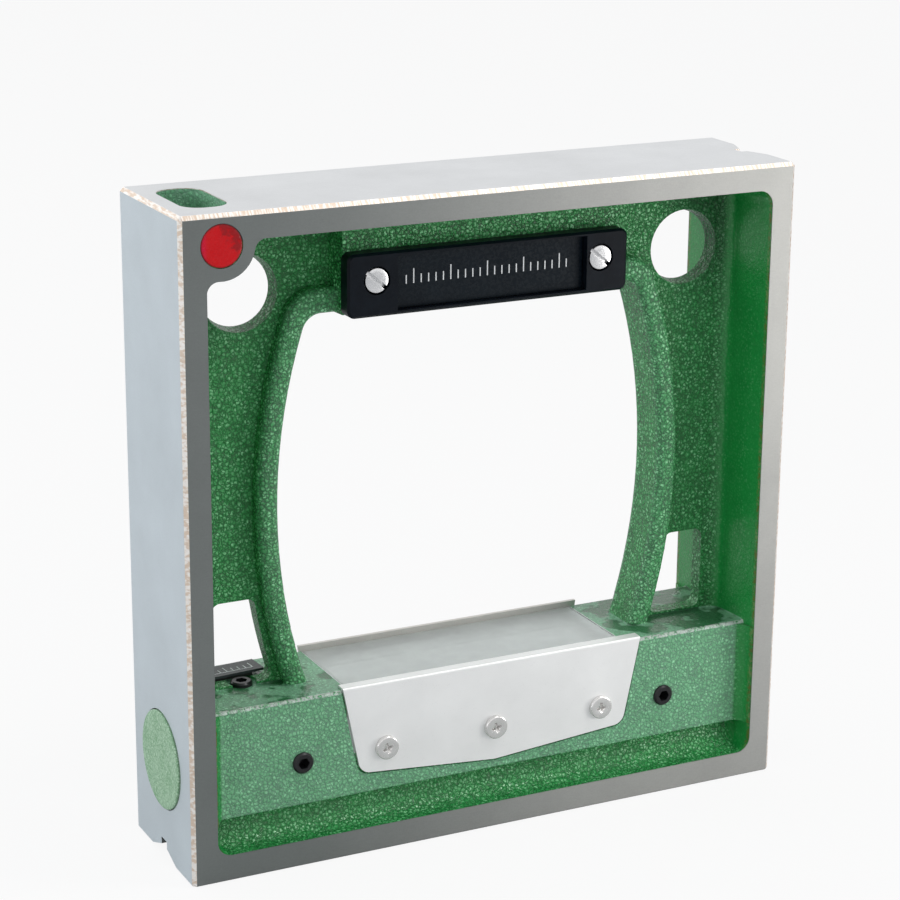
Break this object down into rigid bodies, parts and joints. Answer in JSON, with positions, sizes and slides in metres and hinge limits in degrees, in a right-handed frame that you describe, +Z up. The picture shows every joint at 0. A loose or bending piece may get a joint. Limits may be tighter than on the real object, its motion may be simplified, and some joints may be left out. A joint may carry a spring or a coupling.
{
  "type": "precision machinist level",
  "caption": "Square cast-iron frame level with ground faces, vee grooves, a vial under a window, black grips and a barrel-shaped opening.",
  "frame": {"origin": "bottom centre of the bounding box, on the base plane", "axes": "+X along the base towards the side vee groove, +Y from the front face to the rear face, +Z up"},
  "size_m": [0.2006, 0.048, 0.2],
  "materials": {
    "green_iron": "green hammertone paint on the cast surfaces, fine ground bare iron on the outer faces",
    "red_enamel": "thick glossy enamel",
    "pale_green_paint": "pale green paint, slightly rough",
    "clear_glass": "clear, polished",
    "white_rubber": "matte",
    "satin_aluminium": "fine satin",
    "bright_steel": "bright zinc plate",
    "black_plastic": "satin moulded",
    "black_plate": "satin black with white graduations",
    "black_steel": "black oxide, slightly oily",
    "brass": "machined",
    "spring_steel": "blued",
    "white_plastic": "smooth matte",
    "vial_glass": "clear, ground inside",
    "white_cement": "matte",
    "spirit": "clear liquid, faint tint",
    "bubble": "clear",
    "grey_rubber": "matte"
  },
  "bodies": {
    "frame": {"frame_casting": "green_iron", "datum_spot": "red_enamel", "side_plug": "pale_green_paint", "window_glass": "clear_glass", "window_gasket": "white_rubber", "front_cover_plate": "satin_aluminium", "rear_cover_plate": "satin_aluminium", "front_cover_screws": "bright_steel", "rear_cover_screws": "bright_steel", "front_grip": "black_plastic", "rear_grip": "black_plastic", "front_name_plate": "black_plate", "rear_name_plate": "black_plate", "front_grip_screws": "bright_steel", "rear_grip_screws": "bright_steel", "carrier_spring": "spring_steel", "index_plate": "black_plate", "index_plate_pad": "grey_rubber"},
    "carrier": {"vial_carrier": "brass", "vial_tray": "white_plastic", "vial_tube": "vial_glass", "vial_end_plugs": "white_cement", "vial_spirit": "spirit"},
    "bubble": {"vial_bubble": "bubble"},
    "adjusting_screw": {"adjusting_screw": "black_steel"},
    "locking_screw": {"locking_screw": "black_steel"},
    "pivot_screw": {"pivot_screw": "black_steel"}
  },
  "joints": [
    {"name": "adjusting_screw_turn", "type": "hinge", "parent": "frame", "child": "adjusting_screw", "pos_m": [-0.07395, 0, 0.0435], "axis": [0, 0, 1], "range_deg": [-258, 258]},
    {"name": "carrier_tilt", "type": "hinge", "parent": "frame", "child": "carrier", "pos_m": [0.06255, 0, 0.0304], "axis": [0, 1, 0], "range_deg": [-0.16, 0.16]},
    {"name": "bubble_travel", "type": "slide", "parent": "carrier", "child": "bubble", "axis": [1, 0, 0], "range_m": [-0.025, 0.025]},
    {"name": "locking_screw_turn", "type": "hinge", "parent": "frame", "child": "locking_screw", "pos_m": [-0.06185, -0.014, 0.0304], "axis": [0, 1, 0], "range_deg": [-360, 0]},
    {"name": "pivot_screw_turn", "type": "hinge", "parent": "frame", "child": "pivot_screw", "pos_m": [0.06255, -0.014, 0.0304], "axis": [0, 1, 0], "range_deg": [-360, 0]}
  ]
}
